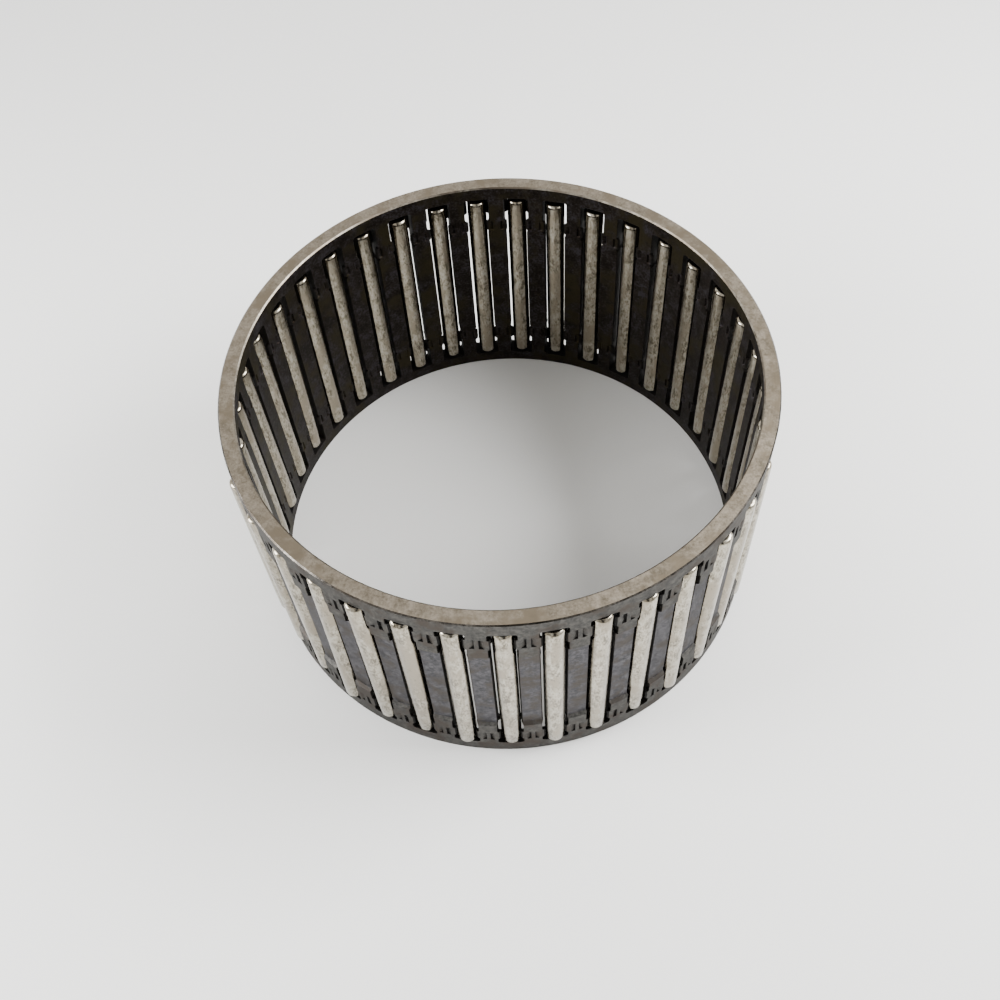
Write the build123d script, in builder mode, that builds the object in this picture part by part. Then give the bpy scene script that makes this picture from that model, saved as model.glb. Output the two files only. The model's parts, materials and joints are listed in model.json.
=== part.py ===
from build123d import *
import os
from math import cos, radians, sin

# Caged needle roller bearing without rings, for a 60 mm shaft in a 65 mm housing, 35 mm wide.
# One steel cage holds loose needle rollers. Millimetres, +Z along the bearing axis,
# origin at the centre of the cage, roller 1 on +X. The bearing stands on its end face.

os.makedirs("parts", exist_ok=True)

# ---- Raceways and rollers ----------------------------------------------------------
shaft_diameter = 60.0
housing_diameter = 65.0
roller_count = 37
roller_diameter = (housing_diameter - shaft_diameter) / 2
roller_length = 29.8
roller_corner = 0.45
pitch_radius = (shaft_diameter + housing_diameter) / 4

# ---- Cage ----------------------------------------------------------------------
nominal_width = 35.0
cage_width = nominal_width - 0.2
cage_radius = housing_diameter / 2 - 0.2
cage_bore_radius = shaft_diameter / 2 + 0.37
cage_wall = cage_radius - cage_bore_radius
edge_break = 0.16

# The bars are thinner between the two shoulders, where a groove runs round the outside.
shoulder_level = 9.7
groove_depth = 0.5
groove_run_out = 1.0

# ---- Pockets -------------------------------------------------------------------
# The end walls of a pocket lean back, so it is longer at the bore than at the outside.
pocket_length = 30.2
pocket_bore_length = 30.9
pocket_width = 3.22
pocket_waist = 2.84
pocket_corner = 0.35
shoulder_pocket_length = pocket_length / 2 - shoulder_level

# Wedge-shaped lugs are staked over each pocket, so its mouths are narrower than a roller.
lug_gap = 2.44
lug_depth = 0.5
outer_lug_level = 12.75
outer_lug_length = 2.1
inner_lug_level = 10.8
inner_lug_length = 1.6

# ---- Loose rollers -----------------------------------------------------------------
# With the bearing on its end face each roller has sunk to the floor of its pocket and lies
# loose in it. Each of its ends has shifted out or in, and most rollers lie near the wall at
# their clockwise side. The further out one is, the less room the lugs leave it sideways.
floor_gap = 0.08
lower_end_play = (-0.16, 0.34)
upper_end_play = (-0.05, 0.38)
side_play = 0.11
side_play_lost = 0.18
side_slack = 0.45
clockwise_share = 0.6
wall_step = 0.236
lower_end_step = 0.618
upper_end_step = 0.755
lower_side_step = 0.414
upper_side_step = 0.302


def pocket_angle(number):
    """Angle of a pocket about +Z in degrees; pocket 1 is on +X."""
    return 360.0 * (number - 1) / roller_count


def resting_place(number, play, step, side_step):
    """How far one end of a roller has shifted outwards and sideways from its running place."""
    outwards = play[0] + (play[1] - play[0]) * (number * step % 1.0)
    room = side_play - side_play_lost * abs(outwards)
    side = -1 if number * wall_step % 1.0 < clockwise_share else 1
    return outwards, side * room * (1 - side_slack * (number * side_step % 1.0))


def roller_plane(number):
    """Plane across the middle of a roller, with its normal along the roller's axis."""
    lower_out, lower_side = resting_place(number, lower_end_play, lower_end_step, lower_side_step)
    upper_out, upper_side = resting_place(number, upper_end_play, upper_end_step, upper_side_step)
    out_x = cos(radians(pocket_angle(number)))
    out_y = sin(radians(pocket_angle(number)))
    radius = pitch_radius + (lower_out + upper_out) / 2
    aside = (lower_side + upper_side) / 2
    slope_out = (upper_out - lower_out) / roller_length
    slope_side = (upper_side - lower_side) / roller_length
    return Plane(
        origin=(
            radius * out_x - aside * out_y,
            radius * out_y + aside * out_x,
            floor_gap - (pocket_length - roller_length) / 2,
        ),
        x_dir=(-out_y, out_x, -slope_side),
        z_dir=(
            slope_out * out_x - slope_side * out_y,
            slope_out * out_y + slope_side * out_x,
            1,
        ),
    )


def leave_lugs(face_radius, depth, level, length):
    """Spare the lugs of both ends from the pocket tool; a negative depth goes inwards."""
    for height in (level, -level):
        with BuildSketch(Plane.XY.offset(height)) as lugs:
            with BuildLine():
                Polyline(
                    (face_radius + depth, pocket_width / 2),
                    (face_radius, lug_gap / 2),
                    (face_radius - 2 * depth, lug_gap / 2),
                    (face_radius - 2 * depth, pocket_width),
                    (face_radius + depth, pocket_width),
                    close=True,
                )
            make_face()
            mirror(about=Plane.XZ)
        extrude(lugs.sketch, amount=length / 2, both=True, mode=Mode.SUBTRACT)


# The tool that cuts one pocket through the wall, on +X.
with BuildPart() as pocket:
    with BuildSketch(Plane.YZ.offset(cage_bore_radius - cage_wall / 2)):
        Rectangle(pocket_waist, 2 * shoulder_level)
        with GridLocations(0, 2 * shoulder_level + shoulder_pocket_length, 1, 2):
            RectangleRounded(pocket_width, shoulder_pocket_length, pocket_corner)
        with GridLocations(0, 2 * shoulder_level, 1, 2):
            Rectangle(pocket_width, 2 * pocket_corner)
    extrude(amount=2 * cage_wall)
    with BuildSketch(Plane.XZ) as leaning_ends:
        with BuildLine():
            Polyline(
                (cage_radius, pocket_length / 2),
                (cage_bore_radius, pocket_bore_length / 2),
                (cage_bore_radius - cage_wall, pocket_bore_length / 2),
                (cage_bore_radius - cage_wall, -pocket_bore_length / 2),
                (cage_bore_radius, -pocket_bore_length / 2),
                (cage_radius, -pocket_length / 2),
                close=True,
            )
        make_face()
    extrude(leaning_ends.sketch, amount=pocket_width / 2 - pocket_corner, both=True)
    leave_lugs(cage_radius, -lug_depth, outer_lug_level, outer_lug_length)
    leave_lugs(cage_bore_radius, lug_depth, inner_lug_level, inner_lug_length)

with BuildPart() as cage:
    with BuildSketch(Plane.XZ):
        with Locations(((cage_radius + cage_bore_radius) / 2, 0)):
            Rectangle(cage_wall, cage_width)
        chamfer(vertices(), edge_break)
        with BuildLine():
            Polyline(
                (cage_radius, shoulder_level),
                (cage_radius - groove_depth, shoulder_level - groove_run_out),
                (cage_radius - groove_depth, groove_run_out - shoulder_level),
                (cage_radius, -shoulder_level),
                close=True,
            )
        make_face(mode=Mode.SUBTRACT)
    revolve(axis=Axis.Z)
    with PolarLocations(0, roller_count):
        add(pocket.part, mode=Mode.SUBTRACT)

cage.part.label = "cage"
export_step(cage.part, "parts/cage.step")

for number in range(1, roller_count + 1):
    with BuildPart(roller_plane(number)) as needle_roller:
        Cylinder(radius=roller_diameter / 2, height=roller_length)
        fillet(needle_roller.edges().filter_by(GeomType.CIRCLE), roller_corner)
    node_name = f"needle_roller_{number:02d}"
    needle_roller.part.label = node_name
    export_step(needle_roller.part, f"parts/{node_name}.step")
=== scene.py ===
import json
import math

import bpy
import numpy as np
from mathutils import Matrix, Vector


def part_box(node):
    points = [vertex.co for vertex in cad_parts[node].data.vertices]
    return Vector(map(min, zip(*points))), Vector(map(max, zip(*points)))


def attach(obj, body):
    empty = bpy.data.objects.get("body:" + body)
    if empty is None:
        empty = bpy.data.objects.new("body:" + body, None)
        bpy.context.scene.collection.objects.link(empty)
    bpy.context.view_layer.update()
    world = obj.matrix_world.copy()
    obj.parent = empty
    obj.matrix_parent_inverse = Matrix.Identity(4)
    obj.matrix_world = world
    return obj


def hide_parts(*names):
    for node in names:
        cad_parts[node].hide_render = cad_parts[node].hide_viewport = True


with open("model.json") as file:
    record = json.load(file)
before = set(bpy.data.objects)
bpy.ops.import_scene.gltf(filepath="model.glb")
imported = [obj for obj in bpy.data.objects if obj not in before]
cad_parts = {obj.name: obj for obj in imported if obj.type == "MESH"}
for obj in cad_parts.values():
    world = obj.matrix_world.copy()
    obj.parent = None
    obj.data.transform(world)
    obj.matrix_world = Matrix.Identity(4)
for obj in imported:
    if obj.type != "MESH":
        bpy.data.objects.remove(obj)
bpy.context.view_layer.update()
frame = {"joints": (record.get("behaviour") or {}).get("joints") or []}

# A caged needle roller bearing without rings, standing on its end face.
# Sizes are in millimetres and are turned to metres where a mesh is made.
MM = 0.001
# Heights that differ by less than this are the same.
HAIR = 0.01
# Points of the cage or of a roller closer than these are made one.
CAGE_WELD = 0.002
ROLLER_WELD = 0.001
# An edge of the cage that turns by more than this stays sharp.
SHARP_ANGLE = math.radians(24)
# A wave texture of scale 1 repeats after this length.
WAVE_PERIOD = 0.314

# ---- Sizes read from the frame -----------------------------------------------------
roller_joints = frame["joints"]
pocket_count = len(roller_joints)
pitch_angle = 2 * math.pi / pocket_count
cage_low, cage_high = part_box("cage")
cage_radius = (cage_high.x - cage_low.x) / 2 / MM
cage_half_width = (cage_high.z - cage_low.z) / 2 / MM
floor_level = cage_low.z

# ---- Cage --------------------------------------------------------------------------
bore_radius = 30.37
rim_chamfer = 0.16
# Rings of points across each end face, which the chamfers' own rings lie outside.
rim_circles = (31.6, 31.1)
# The groove's outside is full depth up to its foot and meets the shoulder at its brow.
groove_depth = 0.4
groove_foot = 9.25
groove_brow = 9.7
turning_waviness = 0.03
turning_wave_length = 4.0

# ---- Pockets and their staking -----------------------------------------------------
# Heights are measured from the middle of the cage, and widths from a pocket's centre line.
pocket_half_length = 15.1
end_wall_lean = 0.35
end_lean_start = 14.3
pocket_half_width = 1.61
pocket_half_waist = 1.39
waist_end = 9.5
waist_mouth = 0.19
pocket_corner = 0.35
corner_start = pocket_half_length - pocket_corner
pocket_bevel = 0.04
# A lug leans out over the pocket by its reach. Its tip is just under the face, and its foot deeper.
lug_reach = 0.385
lug_tip = 0.2
lug_foot = 0.5
lug_end = 0.12
outer_lug = (11.7, 13.8)
inner_lug = (10.0, 11.6)
# A stake mark slopes down from near the pocket to its far wall, which pushed the lug over.
outer_stake = {"start": 12.05, "end": 13.95, "near": 0.4, "far": 0.8, "depth": 0.25}
inner_stake = {"start": 10.1, "end": 11.5, "near": 0.2, "far": 0.5, "depth": 0.2}
stake_wall = 0.1
stake_spread = 0.25
stake_seed = 5

# ---- Rollers -----------------------------------------------------------------------
roller_diameter = 2.49
roller_length = 29.8
roller_corner = 0.45
relief_length = 2.9
relief_drop = 0.03
roller_facets = 56
corner_facets = 5

# ---- View, from the object's own axes ----------------------------------------------
camera_azimuth = -4.71
camera_elevation = 55.62
camera_distance = 4.656 * cage_radius
camera_lens = 42.39
look_azimuth = 4.145
look_down = 57.62
camera_roll = -4.54

# ---- Studio ------------------------------------------------------------------------
# Sizes and distances are in cage radii, and angles are measured as the camera's are.
room_strength = 1.15
far_side_gain = 1.5
# The figure's dark core and its soft outline, as sines of the angle to each side.
figure_core = 0.12
figure_outline = 0.22
right_soft_box = {"size": 4.0, "power": 1.15, "azimuth": 88, "elevation": 40, "distance": 7.0}
left_soft_box = {"size": 3.5, "power": 0.85, "azimuth": -86, "elevation": 26, "distance": 7.0}
floor_reach = 60


def linear(hex_text):
    """Linear colour of an sRGB hex value."""
    channels = [int(hex_text[i : i + 2], 16) / 255 for i in (1, 3, 5)]
    lit = [c / 12.92 if c <= 0.04045 else ((c + 0.055) / 1.055) ** 2.4 for c in channels]
    return (*lit, 1.0)


def add_node(tree, kind, inputs=None, **settings):
    """Adds a node. inputs maps a socket's name or number to a value or to another node's socket."""
    made = tree.nodes.new(kind)
    for name, value in settings.items():
        setattr(made, name, value)
    for key, value in (inputs or {}).items():
        if isinstance(value, bpy.types.NodeSocket):
            tree.links.new(value, made.inputs[key])
        else:
            made.inputs[key].default_value = value
    return made


# ---- Materials ---------------------------------------------------------------------


def steel(
    name, colours, roughness, grain, blotch, bump,
    metallic=1.0, sheen=0.5, edge=1.0, stretch=1.0, contrast=0.1, specks=0.0, rings=None,
):
    """A steel finish.

    colours are the dark, middle and light tones and the tint of old oil. grain and blotch
    are sizes in millimetres, stretch draws them out along the axis, and contrast is how
    little noise turns the middle tone dark or light. sheen is how much a skin that isn't
    metal reflects, and edge is how far a metal brightens at a glancing view. specks is the
    strength of small dark pits, and rings is the spacing and strength of turning marks.
    Real grain and turning marks are finer, and are drawn as coarse as they need to show.
    """
    noise_span = (0.3, 0.7)
    stain_onset = (0.48, 0.62)
    pit_onset = (0.62, 0.74)
    material = bpy.data.materials.new(name)
    material.use_nodes = True
    tree = material.node_tree
    tree.nodes.clear()
    place = add_node(tree, "ShaderNodeTexCoord").outputs["Object"]
    dark, middle, light, oil = (linear(c) for c in colours)

    def mottle(size, detail, rough=0.5, offset=0.0):
        """A cloudy pattern of a size in millimetres, drawn out along the axis."""
        where = add_node(
            tree,
            "ShaderNodeMapping",
            {"Vector": place, "Location": (offset,) * 3, "Scale": (1, 1, 1 / stretch)},
        ).outputs[0]
        return add_node(
            tree,
            "ShaderNodeTexNoise",
            {"Vector": where, "Scale": 1 / (size * MM), "Detail": detail, "Roughness": rough},
        ).outputs["Fac"]

    fine = mottle(grain, 3.0, 0.65)
    cloud = mottle(blotch, 4.0, 0.6, offset=0.3)
    stain = mottle(blotch * 3, 3.0, 0.6, offset=0.7)
    mixed = add_node(tree, "ShaderNodeMath", {0: fine, 1: cloud}, operation="ADD").outputs[0]
    mixed = add_node(tree, "ShaderNodeMath", {0: mixed, 1: 0.5}, operation="MULTIPLY").outputs[0]
    tone = add_node(tree, "ShaderNodeValToRGB", {0: mixed})
    stops = tone.color_ramp.elements
    stops[0].position, stops[0].color = 0.5 - contrast, dark
    stops[1].position, stops[1].color = 0.5 + contrast, light
    stops.new(0.5).color = middle
    stained = add_node(
        tree,
        "ShaderNodeMapRange",
        {"Value": stain, "From Min": stain_onset[0], "From Max": stain_onset[1]},
    ).outputs[0]
    colour = add_node(
        tree, "ShaderNodeMix", {0: stained, 6: tone.outputs[0], 7: oil}, data_type="RGBA"
    ).outputs[2]
    if specks:
        pits = mottle(grain * 1.3, 1.0, offset=1.1)
        pits = add_node(
            tree,
            "ShaderNodeMapRange",
            {"Value": pits, "From Min": pit_onset[0], "From Max": pit_onset[1], "To Max": specks},
        ).outputs[0]
        colour = add_node(tree, "ShaderNodeMix", {0: pits, 6: colour, 7: dark}, data_type="RGBA").outputs[2]
    rough = add_node(
        tree,
        "ShaderNodeMapRange",
        {
            "Value": cloud,
            "From Min": noise_span[0],
            "From Max": noise_span[1],
            "To Min": roughness[0],
            "To Max": roughness[1],
        },
    ).outputs[0]
    height = fine
    if rings:
        spacing, strength = rings
        marks = add_node(
            tree,
            "ShaderNodeTexWave",
            {"Vector": place, "Scale": WAVE_PERIOD / (spacing * MM), "Distortion": 1.5, "Detail": 2.0},
            wave_type="RINGS",
            rings_direction="Z",
        ).outputs["Fac"]
        height = add_node(
            tree, "ShaderNodeMath", {0: marks, 1: strength, 2: fine}, operation="MULTIPLY_ADD"
        ).outputs[0]
    normal = add_node(tree, "ShaderNodeBump", {"Height": height, "Strength": 1.0, "Distance": bump * MM})
    shader = add_node(
        tree,
        "ShaderNodeBsdfPrincipled",
        {
            "Base Color": colour,
            "Metallic": metallic,
            "Roughness": rough,
            "Specular IOR Level": sheen,
            "Specular Tint": (edge, edge, edge, 1.0),
            "Normal": normal.outputs[0],
        },
    )
    add_node(tree, "ShaderNodeOutputMaterial", {"Surface": shader.outputs[0]})
    return material


# Face-turned low-alloy steel, tumbled: a matt warm grey with a sandy grain and faint rings.
rim_steel = steel(
    "tumbled turned steel rim", ("#6b6356", "#837a6c", "#938a7d", "#756b5c"),
    roughness=(0.4, 0.52), grain=0.25, blotch=1.1, bump=0.006, contrast=0.13, specks=0.3, rings=(0.35, 0.4),
)
# The same steel on the outside shoulders, darker where handling oil has stayed on it.
shoulder_steel = steel(
    "oiled turned steel shoulder", ("#434241", "#535250", "#63615e", "#4e4945"),
    roughness=(0.38, 0.5), grain=0.3, blotch=0.9, bump=0.006, edge=0.5, specks=0.5,
)
# The bottom of the turned groove: a little bluer, and mottled by heat treatment.
groove_steel = steel(
    "heat-tinted hardened steel groove", ("#454547", "#565558", "#676669", "#514d4a"),
    roughness=(0.38, 0.5), grain=0.3, blotch=0.9, bump=0.006, edge=0.5, specks=0.5,
)
# The bore: nearly black, with violet, brown and olive stains.
bore_steel = steel(
    "near-black steel bore", ("#191511", "#292421", "#3c393c", "#302b1e"),
    roughness=(0.55, 0.68), grain=0.3, blotch=1.6, bump=0.006, specks=0.4,
)
# Punched pocket walls and the far walls of stake marks: painted black, with little sheen, as painted shade
# for the deep gaps and dents.
pocket_steel = steel(
    "punched steel pocket in painted shade", ("#050404", "#0a0908", "#14110f", "#0e0a07"),
    roughness=(0.65, 0.8), grain=0.3, blotch=1.2, bump=0.01, metallic=0.0, sheen=0.12,
)
# The rim's outer edge, broken by tumbling, painted darker than the end face: a painted shade line along the
# rim.
outer_edge_steel = steel(
    "steel edge with painted shade", ("#34312e", "#57534e", "#6f6a64", "#443e37"),
    roughness=(0.22, 0.32), grain=0.3, blotch=1.5, bump=0.004,
)
# The rim's inner edge, rubbed smoother than the end face, so it catches more of the light.
inner_edge_steel = steel(
    "rubbed bright steel edge", ("#5a544b", "#746e64", "#8b857a", "#665d52"),
    roughness=(0.32, 0.45), grain=0.3, blotch=1.5, bump=0.004,
)
# Through-hardened bearing steel, centreless ground: pale, with fine streaks and dark specks along it.
roller_steel = steel(
    "centreless ground bearing steel", ("#686153", "#9c9586", "#b2ac9e", "#908777"),
    roughness=(0.14, 0.22), grain=0.22, blotch=0.7, bump=0.001, stretch=2.5, contrast=0.085, specks=0.55,
)
ZONES = [
    rim_steel, shoulder_steel, groove_steel, bore_steel, pocket_steel, outer_edge_steel, inner_edge_steel,
]
RIM, SHOULDER, GROOVE, BORE, POCKET, OUTER_EDGE, INNER_EDGE = range(len(ZONES))


# ---- Cage sector -------------------------------------------------------------------


def ramp(value, start, end):
    """0 before start, 1 after end, smooth between."""
    t = np.clip((value - start) / (end - start), 0.0, 1.0)
    return t * t * (3 - 2 * t)


def plateau(value, low, high, edge):
    """1 between low and high, falling to 0 within edge outside them."""
    return ramp(value, low - edge, low) * (1 - ramp(value, high, high + edge))


def pocket_outline():
    """Points round the pocket, from the middle of its right side, each with its point on the sector's edge.

    A point is a distance aside, or None on the long sides, and a height. A point on the edge
    is a share of half the pitch angle, and a height.
    """
    groove_levels = [0.0, 4.3, 8.2, groove_foot, 9.45, groove_brow, 9.85]
    inner_mark = [inner_stake["start"], 10.3, 10.8, 11.3, inner_stake["end"]]
    inner_levels = [inner_lug[0], *inner_mark, inner_lug[1]]
    mark_start = [outer_stake["start"] - stake_wall, outer_stake["start"]]
    outer_levels = [11.75, *mark_start, 12.5, 13.0, 13.5, outer_lug[1]]
    end_levels = [outer_stake["end"], outer_stake["end"] + stake_wall, 14.4, corner_start]
    side = groove_levels + inner_levels + outer_levels + end_levels
    corner_steps = 4
    end_steps = 5
    rim = cage_half_width - rim_chamfer
    end_share = 0.88
    right = [((None, z), (1.0, z)) for z in side]
    for step in range(1, corner_steps + 1):
        turn = math.pi / 2 * step / corner_steps
        u = pocket_half_width - pocket_corner * (1 - math.cos(turn))
        z = pocket_half_length - pocket_corner * (1 - math.sin(turn))
        share = step / corner_steps
        if share <= 0.5:
            border = (1.0, corner_start + (rim - corner_start) * share * 2)
        else:
            border = (1.0 - (1.0 - end_share) * (share - 0.5) * 2, rim)
        right.append(((u, z), border))
    flat = pocket_half_width - pocket_corner
    for step in range(1, end_steps + 1):
        share = 1 - step / end_steps
        right.append(((flat * share, pocket_half_length), (end_share * share, rim)))
    left = [((None if u is None else -u, z), (-share, edge)) for (u, z), (share, edge) in right[-2::-1]]
    top = right + left
    return top + [((u, -z), (share, -edge)) for (u, z), (share, edge) in top[-2:0:-1]]


def in_painted_stake_shade(strip, z_one, z_two):
    """Whether a face is a stake mark's far wall or the ledge under it, which get the pocket's black as
    painted shade.

    Strips of the outer face are counted from the bar's middle, and a face of one lies
    between two heights.
    """
    far_wall, slope = 1, 2
    low, high = sorted((z_one, z_two))
    start, end = outer_stake["start"] - stake_wall, outer_stake["end"] + stake_wall
    if not start - HAIR <= min(abs(low), abs(high)) <= max(abs(low), abs(high)) <= end + HAIR:
        return False
    ledge = start if low > 0 else -end
    return strip == far_wall or (strip == slope and abs(low - ledge) < HAIR)


def cage_sector():
    """One pocket, the half bars beside it and its stretch of both rims, as a mesh.

    Its stake attribute is how deep a point is driven in, and its zone is a face's finish.
    """
    outline = pocket_outline()
    count = len(outline)
    z_edge = np.array([z for (_, z), _ in outline])
    side = np.array([np.sign(share) for _, (share, _) in outline])
    widening = ramp(abs(z_edge), waist_end, groove_brow)
    waist = pocket_half_waist + (pocket_half_width - pocket_half_waist) * widening
    long_side = np.array([u is None for (u, _), _ in outline])
    u_edge = np.where(long_side, side * waist, [u or 0.0 for (u, _), _ in outline])
    share = np.array([share for _, (share, _) in outline])
    z_rim = np.array([z for _, (_, z) in outline])
    half_bar = cage_radius * math.tan(pitch_angle / 2) - pocket_half_width
    mouth = side * waist_mouth * (1 - ramp(abs(z_edge), groove_foot, groove_brow)) * long_side
    at_end = np.sign(z_edge) * end_wall_lean * ramp(abs(z_edge), end_lean_start, corner_start)

    def level(radius):
        """Height of the pocket's outline at a radius, as its end walls lean."""
        return z_edge + at_end * (cage_radius - radius) / (cage_radius - bore_radius)

    def lug(limits):
        """How far each side point leans over the pocket at its lug's tip."""
        return np.where(long_side, lug_reach * plateau(abs(z_edge), *limits, lug_end), 0.0)

    def point_ring(radius, offset, shift):
        """A ring at an offset from the pocket's wall towards the sector's edge, with its lug shift."""
        t = offset / half_bar
        open_edge = u_edge + (mouth if radius > bore_radius else 0.0)
        angle = np.arcsin(open_edge / radius) * (1 - t) + share * pitch_angle / 2 * t
        angle = angle - side * shift / radius
        z = level(radius) * (1 - t) + z_rim * t
        groove = groove_depth * (1 - ramp(abs(z), groove_foot, groove_brow))
        return angle, z, groove

    def stake(z, offset, mark):
        """How deep a stake mark is at an offset from the pocket's wall."""
        if offset > mark["far"]:
            return np.zeros(count)
        along = plateau(abs(z), mark["start"], mark["end"], stake_wall)
        slope = np.clip((offset - mark["near"]) / (mark["far"] - mark["near"]), 0, 1)
        return np.where(long_side, mark["depth"] * along * slope, 0.0)

    points, stakes, rings = [], [], []

    def add_ring(radius, angle, z, dent):
        rings.append(len(points))
        points.extend(zip(radius * np.cos(angle), radius * np.sin(angle), z))
        stakes.extend(dent)

    # Lines beside the pocket on each face: the offset from its wall, and how much of the
    # lug's lean is left there.
    outer_lines = [
        (pocket_bevel, 0.45), (0.25, 0.35), (outer_stake["near"], 0.2),
        (outer_stake["far"], 0.0), (outer_stake["far"] + stake_wall, 0.0), (half_bar, 0.0),
    ]
    inner_lines = [
        (pocket_bevel, 0.45), (inner_stake["near"], 0.4), (inner_stake["far"], 0.1),
        (inner_stake["far"] + stake_wall, 0.0), (half_bar, 0.0),
    ]

    # outer face, from the bar's middle to the pocket
    for offset, lean in reversed(outer_lines):
        angle, z, groove = point_ring(cage_radius, offset, lug(outer_lug) * lean)
        add_ring(cage_radius - groove, angle, z, stake(z, offset, outer_stake))
    outer_count = len(rings)
    # pocket wall, from the outer face to the bore: the depth under the face it is nearer,
    # and how much of the lug's lean and of the waist's mouth is left there
    top = cage_radius - groove_depth * (1 - ramp(abs(z_edge), groove_foot, groove_brow))
    for depth, lean, opened in ((pocket_bevel, 0.5, 0.8), (lug_tip, 1.0, 0.3), (lug_foot, 0.0, 0.0)):
        radius = top - depth
        angle = np.arcsin((u_edge + mouth * opened - side * lug(outer_lug) * lean) / radius)
        add_ring(radius, angle, level(radius), np.zeros(count))
    for depth, lean in ((lug_foot, 0.0), (lug_tip, 1.0), (pocket_bevel, 0.6)):
        radius = np.full(count, bore_radius + depth)
        angle = np.arcsin((u_edge - side * lug(inner_lug) * lean) / radius)
        add_ring(radius, angle, level(radius), np.zeros(count))
    wall_end = len(rings)
    # bore, from the pocket to the bar's middle
    for offset, lean in inner_lines:
        angle, z, _ = point_ring(bore_radius, offset, lug(inner_lug) * lean)
        add_ring(np.full(count, bore_radius), angle, z, -stake(z, offset, inner_stake))

    faces, zones = [], []
    for k in range(len(rings) - 1):
        for i in range(count):
            j = (i + 1) % count
            faces.append((rings[k] + i, rings[k] + j, rings[k + 1] + j, rings[k + 1] + i))
            height = max(abs(z_edge[i]), abs(z_edge[j]))
            # A stake mark's far wall and the ledge under it take the pocket's black: painted shade.
            if k < outer_count and long_side[i] and long_side[j] and in_painted_stake_shade(k, z_edge[i], z_edge[j]):
                zones.append(POCKET)
            elif k < outer_count:
                zones.append(GROOVE if height <= groove_foot else SHOULDER)
            elif k < wall_end:
                zones.append(POCKET)
            else:
                zones.append(BORE)

    # both rims: outer chamfer, end face, inner chamfer
    first_outer, last_inner = rings[0], rings[-1]
    steps = [cage_radius - rim_chamfer, *rim_circles, bore_radius + rim_chamfer]
    for sign in (1, -1):
        row = [i for i in range(count) if z_rim[i] * sign > cage_half_width - rim_chamfer - HAIR]
        row.sort(key=lambda i: share[i])
        previous = [first_outer + i for i in row]
        for number, radius in enumerate(steps + [None]):
            if radius is None:
                current = [last_inner + i for i in row]
            else:
                current = list(range(len(points), len(points) + len(row)))
                angles = [share[i] * pitch_angle / 2 for i in row]
                height = sign * cage_half_width
                points.extend((radius * math.cos(a), radius * math.sin(a), height) for a in angles)
                stakes.extend([0.0] * len(row))
            for a in range(len(row) - 1):
                quad = (previous[a], previous[a + 1], current[a + 1], current[a])
                faces.append(quad if sign > 0 else quad[::-1])
                zones.append({0: OUTER_EDGE, len(steps): INNER_EDGE}.get(number, RIM))
            previous = current

    mesh = bpy.data.meshes.new("cage sector")
    mesh.from_pydata([tuple(MM * c for c in p) for p in points], [], faces)
    depths = np.array(stakes, np.float32) * MM
    mesh.attributes.new("stake", "FLOAT", "POINT").data.foreach_set("value", depths)
    mesh.attributes.new("zone", "INT", "FACE").data.foreach_set("value", np.array(zones, np.int32))
    mesh.update()
    return mesh


# ---- Geometry Nodes ----------------------------------------------------------------


def new_tree(name, inputs):
    """A geometry tree with a geometry input and output, and the named inputs with their kinds."""
    tree = bpy.data.node_groups.new(name, "GeometryNodeTree")
    tree.interface.new_socket("Geometry", in_out="INPUT", socket_type="NodeSocketGeometry")
    for label, kind in inputs.items():
        tree.interface.new_socket(label, in_out="INPUT", socket_type="NodeSocket" + kind)
    tree.interface.new_socket("Geometry", in_out="OUTPUT", socket_type="NodeSocketGeometry")
    return tree, tree.nodes.new("NodeGroupInput").outputs


def grow(name, start_mesh, tree, values):
    """Runs a geometry tree on a mesh and returns the result as a plain mesh object."""
    source = bpy.data.objects.new(name + " source", start_mesh)
    bpy.context.scene.collection.objects.link(source)
    modifier = source.modifiers.new("grow", "NODES")
    modifier.node_group = tree
    for item in tree.interface.items_tree:
        if item.in_out == "INPUT" and item.name in values:
            modifier[item.identifier] = values[item.name]
    evaluated = source.evaluated_get(bpy.context.evaluated_depsgraph_get())
    mesh = bpy.data.meshes.new_from_object(evaluated)
    source.modifiers.clear()
    bpy.data.objects.remove(source)
    mesh.name = name
    piece = bpy.data.objects.new(name, mesh)
    bpy.context.scene.collection.objects.link(piece)
    return piece


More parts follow.
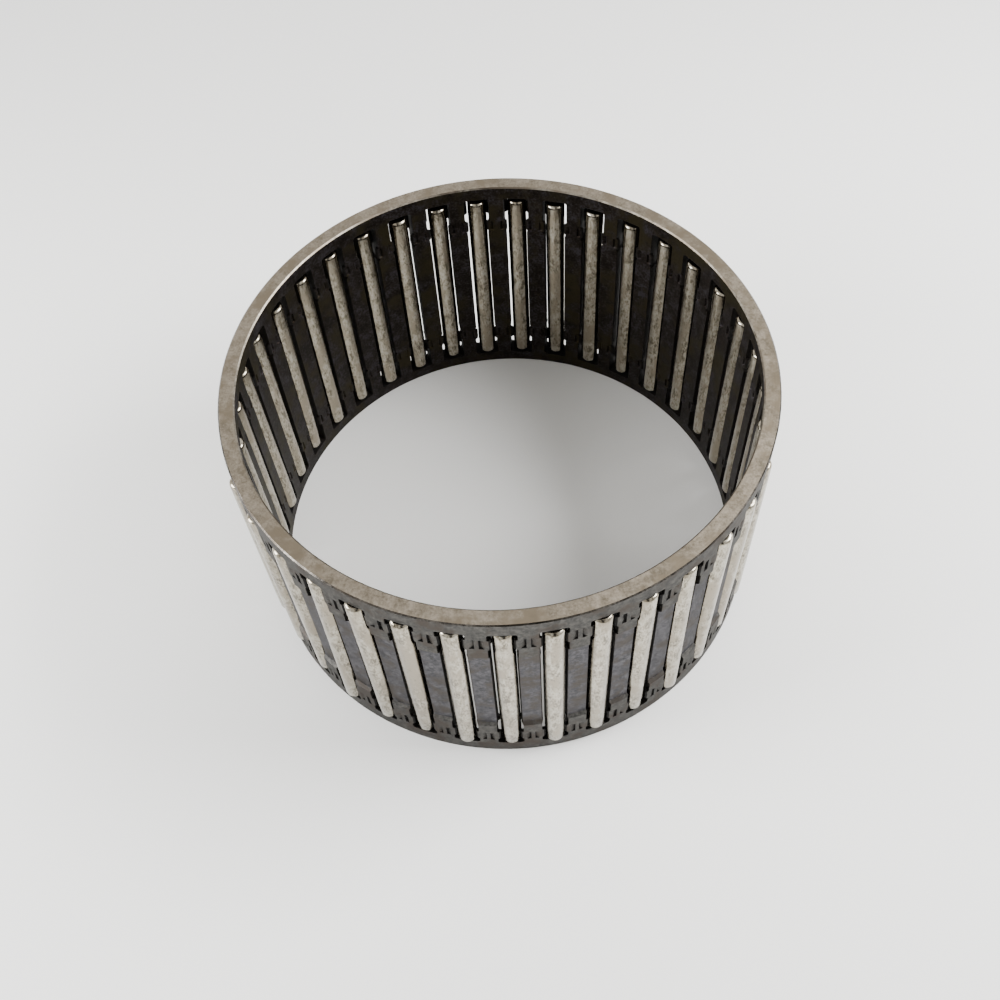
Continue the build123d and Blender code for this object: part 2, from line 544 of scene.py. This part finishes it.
def cage_tree():
    """Turns one sector into the whole ring and drives in the stake marks, each bar's a little differently."""
    tree, given = new_tree(
        "ring of staked pockets",
        {
            "Pockets": "Int",
            "Stake spread": "Float",
            "Waviness": "Float",
            "Wave length": "Float",
            "Seed": "Int",
        },
    )
    points = add_node(tree, "GeometryNodeMeshLine", {"Count": given["Pockets"], "Offset": (0, 0, 0)})
    index = add_node(tree, "GeometryNodeInputIndex").outputs[0]
    step = add_node(
        tree, "ShaderNodeMath", {0: 2 * math.pi, 1: given["Pockets"]}, operation="DIVIDE"
    ).outputs[0]
    angle = add_node(tree, "ShaderNodeMath", {0: index, 1: step}, operation="MULTIPLY").outputs[0]
    turn = add_node(tree, "ShaderNodeCombineXYZ", {"Z": angle}).outputs[0]
    ring = add_node(
        tree,
        "GeometryNodeInstanceOnPoints",
        {"Points": points.outputs[0], "Instance": given["Geometry"], "Rotation": turn},
    ).outputs[0]
    chance = add_node(
        tree,
        "FunctionNodeRandomValue",
        {2: -1.0, 3: 1.0, "ID": index, "Seed": given["Seed"]},
        data_type="FLOAT",
    ).outputs[1]
    ring = add_node(
        tree,
        "GeometryNodeStoreNamedAttribute",
        {"Geometry": ring, "Name": "strike", "Value": chance},
        data_type="FLOAT",
        domain="INSTANCE",
    ).outputs[0]
    ring = add_node(tree, "GeometryNodeRealizeInstances", {"Geometry": ring}).outputs[0]
    ring = add_node(
        tree, "GeometryNodeMergeByDistance", {"Geometry": ring, "Distance": CAGE_WELD * MM}
    ).outputs[0]

    place = add_node(tree, "GeometryNodeInputPosition").outputs[0]
    level = add_node(tree, "ShaderNodeVectorMath", {0: place, 1: (1, 1, 0)}, operation="MULTIPLY").outputs[0]
    outward = add_node(tree, "ShaderNodeVectorMath", {0: level}, operation="NORMALIZE").outputs[0]
    strike = add_node(
        tree, "GeometryNodeInputNamedAttribute", {"Name": "strike"}, data_type="FLOAT"
    ).outputs[0]
    depth = add_node(tree, "GeometryNodeInputNamedAttribute", {"Name": "stake"}, data_type="FLOAT").outputs[0]
    force = add_node(
        tree, "ShaderNodeMath", {0: strike, 1: given["Stake spread"], 2: 1.0}, operation="MULTIPLY_ADD"
    ).outputs[0]
    depth = add_node(tree, "ShaderNodeMath", {0: depth, 1: force}, operation="MULTIPLY").outputs[0]
    wave_scale = add_node(
        tree, "ShaderNodeMath", {0: 1.0, 1: given["Wave length"]}, operation="DIVIDE"
    ).outputs[0]
    wave = add_node(
        tree, "ShaderNodeTexNoise", {"Vector": place, "Scale": wave_scale, "Detail": 1.0}
    ).outputs["Fac"]
    wave = add_node(tree, "ShaderNodeMath", {0: wave, 1: given["Waviness"]}, operation="MULTIPLY").outputs[0]
    sink = add_node(tree, "ShaderNodeMath", {0: depth, 1: wave}, operation="ADD").outputs[0]
    sink = add_node(tree, "ShaderNodeMath", {0: sink, 1: -1.0}, operation="MULTIPLY").outputs[0]
    offset = add_node(tree, "ShaderNodeVectorMath", {0: outward, "Scale": sink}, operation="SCALE").outputs[0]
    ring = add_node(tree, "GeometryNodeSetPosition", {"Geometry": ring, "Offset": offset}).outputs[0]
    ring = add_node(tree, "GeometryNodeSetShadeSmooth", {0: ring}).outputs[0]
    zone = add_node(tree, "GeometryNodeInputNamedAttribute", {"Name": "zone"}, data_type="INT").outputs[0]
    for number, material in enumerate(ZONES):
        here = add_node(
            tree, "FunctionNodeCompare", {2: zone, 3: number}, data_type="INT", operation="EQUAL"
        ).outputs[0]
        ring = add_node(
            tree, "GeometryNodeSetMaterial", {"Geometry": ring, "Selection": here, "Material": material}
        ).outputs[0]
    add_node(tree, "NodeGroupOutput", {0: ring})
    return tree


def roller_tree():
    """Spins a roller's half outline, with rounded corners, round its own axis."""
    tree, given = new_tree(
        "needle roller",
        {
            "Diameter": "Float",
            "Length": "Float",
            "Corner": "Float",
            "Corner facets": "Int",
            "Relief length": "Float",
            "Relief drop": "Float",
            "Facets": "Int",
        },
    )
    radius = add_node(tree, "ShaderNodeMath", {0: given["Diameter"], 1: 0.5}, operation="MULTIPLY").outputs[0]
    half = add_node(tree, "ShaderNodeMath", {0: given["Length"], 1: 0.5}, operation="MULTIPLY").outputs[0]
    inner = add_node(
        tree, "ShaderNodeMath", {0: half, 1: given["Relief length"]}, operation="SUBTRACT"
    ).outputs[0]
    back = add_node(tree, "ShaderNodeMath", {0: radius, 1: -1.0}, operation="MULTIPLY").outputs[0]
    drop = add_node(
        tree, "ShaderNodeMath", {0: given["Relief drop"], 1: -1.0}, operation="MULTIPLY"
    ).outputs[0]
    corners = add_node(tree, "GeometryNodeIndexSwitch", data_type="VECTOR")
    index = add_node(tree, "GeometryNodeInputIndex").outputs[0]
    tree.links.new(index, corners.inputs["Index"])
    # From the axis to the rolling face and back: X is the depth under that face, Y the height.
    upper = [(back, half, 1.0), (drop, half, 1.0), (None, inner, 1.0)]
    outline = upper + [(x, y, -1.0) for x, y, _ in reversed(upper)]
    while len(corners.index_switch_items) < len(outline):
        corners.index_switch_items.new()
    for number, (x, y, sign) in enumerate(outline):
        height = add_node(tree, "ShaderNodeMath", {0: y, 1: sign}, operation="MULTIPLY").outputs[0]
        spot = add_node(tree, "ShaderNodeCombineXYZ", {"Y": height})
        if x is not None:
            tree.links.new(x, spot.inputs["X"])
        tree.links.new(spot.outputs[0], corners.inputs[number + 1])
    line = add_node(tree, "GeometryNodeMeshLine", {"Count": len(outline)}).outputs[0]
    line = add_node(
        tree, "GeometryNodeSetPosition", {"Geometry": line, "Position": corners.outputs[0]}
    ).outputs[0]
    line = add_node(tree, "GeometryNodeMeshToCurve", {"Mesh": line}).outputs[0]
    line = add_node(
        tree,
        "GeometryNodeFilletCurve",
        {"Curve": line, "Count": given["Corner facets"], "Radius": given["Corner"], "Limit Radius": True},
        mode="POLY",
    ).outputs[0]
    rail = add_node(
        tree, "GeometryNodeCurvePrimitiveCircle", {"Resolution": given["Facets"], "Radius": radius}
    ).outputs[0]
    body = add_node(tree, "GeometryNodeCurveToMesh", {"Curve": rail, "Profile Curve": line}).outputs[0]
    body = add_node(
        tree, "GeometryNodeMergeByDistance", {"Geometry": body, "Distance": ROLLER_WELD * MM}
    ).outputs[0]
    body = add_node(tree, "GeometryNodeSetShadeSmooth", {0: body}).outputs[0]
    body = add_node(tree, "GeometryNodeRealizeInstances", {"Geometry": body}).outputs[0]
    body = add_node(tree, "GeometryNodeSetMaterial", {"Geometry": body, "Material": roller_steel}).outputs[0]
    add_node(tree, "NodeGroupOutput", {0: body})
    return tree


def make_cage():
    """The staked cage, in place of the CAD cage."""
    cage = grow(
        "staked_cage",
        cage_sector(),
        cage_tree(),
        {
            "Pockets": pocket_count,
            "Stake spread": stake_spread,
            "Waviness": turning_waviness * MM,
            "Wave length": turning_wave_length * MM,
            "Seed": stake_seed,
        },
    )
    cage.data.set_sharp_from_angle(angle=SHARP_ANGLE)
    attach(cage, "cage")
    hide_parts("cage")


def make_rollers():
    """One roller for each joint, along that joint's axis."""
    tree = roller_tree()
    seed = bpy.data.meshes.new("roller seed")
    sizes = {
        "Diameter": roller_diameter * MM,
        "Length": roller_length * MM,
        "Corner": roller_corner * MM,
        "Corner facets": corner_facets,
        "Relief length": relief_length * MM,
        "Relief drop": relief_drop * MM,
        "Facets": roller_facets,
    }
    for joint in roller_joints:
        body = joint["child"]
        piece = grow(body.replace("needle", "ground"), seed, tree, sizes)
        stand = Vector(joint["axis"]).to_track_quat("Z", "Y").to_matrix().to_4x4()
        piece.data.transform(Matrix.Translation(joint["pos_m"]) @ stand)
        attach(piece, body)
        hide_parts(body)


# ---- Studio ------------------------------------------------------------------------


def make_floor():
    """A plain pale floor under the lower end face."""
    mesh = bpy.data.meshes.new("floor")
    reach = floor_reach * cage_radius * MM
    corners = [(-reach, -reach), (reach, -reach), (reach, reach), (-reach, reach)]
    mesh.from_pydata([(x, y, floor_level) for x, y in corners], [], [(0, 1, 2, 3)])
    floor = bpy.data.objects.new("floor", mesh)
    bpy.context.scene.collection.objects.link(floor)
    paint = bpy.data.materials.new("matt white card")
    paint.use_nodes = True
    shader = paint.node_tree.nodes["Principled BSDF"]
    shader.inputs["Base Color"].default_value = linear("#f4f4f2")
    shader.inputs["Roughness"].default_value = 0.9
    mesh.materials.append(paint)


def add_light(name, size, power, azimuth, elevation, distance):
    """A square soft box that faces the bearing."""
    light = bpy.data.lights.new(name, "AREA")
    light.size = size * cage_radius * MM
    light.energy = power
    holder = bpy.data.objects.new(name, light)
    bpy.context.scene.collection.objects.link(holder)
    a, e = math.radians(azimuth), math.radians(elevation)
    back = Vector((math.sin(a) * math.cos(e), -math.cos(a) * math.cos(e), math.sin(e)))
    holder.location = back * distance * cage_radius * MM
    holder.rotation_mode = "QUATERNION"
    holder.rotation_quaternion = back.to_track_quat("Z", "Y")


def make_camera():
    """The camera, from its azimuth and elevation about the bearing's centre."""
    camera = bpy.data.objects.new("camera", bpy.data.cameras.new("camera"))
    bpy.context.scene.collection.objects.link(camera)
    camera.data.lens = camera_lens
    camera.data.sensor_width = 36
    camera.data.clip_start = 0.01
    a, e = math.radians(camera_azimuth), math.radians(camera_elevation)
    back = Vector((math.sin(a) * math.cos(e), -math.cos(a) * math.cos(e), math.sin(e)))
    camera.matrix_world = (
        Matrix.Translation(back * camera_distance * MM)
        @ Matrix.Rotation(-math.radians(look_azimuth), 4, "Z")
        @ Matrix.Rotation(math.radians(90 - look_down), 4, "X")
        @ Matrix.Rotation(math.radians(camera_roll), 4, "Z")
    )
    bpy.context.scene.camera = camera


def make_world():
    """A white room, brighter at its far side, with the dark figure of whoever stands at the camera.

    X and Y of a direction point to the right and away from the camera.
    """
    world = bpy.data.worlds.new("soft room")
    world.use_nodes = True
    tree = world.node_tree
    tree.nodes.clear()
    towards = add_node(tree, "ShaderNodeTexCoord").outputs["Generated"]
    split = add_node(tree, "ShaderNodeSeparateXYZ", {0: towards}).outputs
    aside = add_node(tree, "ShaderNodeMath", {0: split["X"]}, operation="ABSOLUTE").outputs[0]
    width = add_node(
        tree,
        "ShaderNodeMapRange",
        {"Value": aside, "From Min": figure_outline, "From Max": figure_core},
        interpolation_type="SMOOTHSTEP",
    ).outputs[0]
    near_side = add_node(
        tree,
        "ShaderNodeMapRange",
        {"Value": split["Y"], "From Min": -0.05, "From Max": -0.15},
        interpolation_type="SMOOTHSTEP",
    ).outputs[0]
    glow = add_node(
        tree,
        "ShaderNodeMapRange",
        {
            "Value": split["Y"],
            "From Min": 0.35,
            "From Max": 0.8,
            "To Min": room_strength,
            "To Max": far_side_gain * room_strength,
        },
        interpolation_type="SMOOTHSTEP",
    ).outputs[0]
    figure = add_node(tree, "ShaderNodeMath", {0: width, 1: near_side}, operation="MULTIPLY").outputs[0]
    colour = add_node(
        tree, "ShaderNodeMix", {0: figure, 6: linear("#f6f5f3"), 7: linear("#4a4846")}, data_type="RGBA"
    ).outputs[2]
    shader = add_node(tree, "ShaderNodeBackground", {"Color": colour, "Strength": glow})
    add_node(tree, "ShaderNodeOutputWorld", {"Surface": shader.outputs[0]})
    bpy.context.scene.world = world


make_camera()
make_world()
add_light("right soft box", **right_soft_box)
add_light("left soft box", **left_soft_box)
make_floor()
make_cage()
make_rollers()
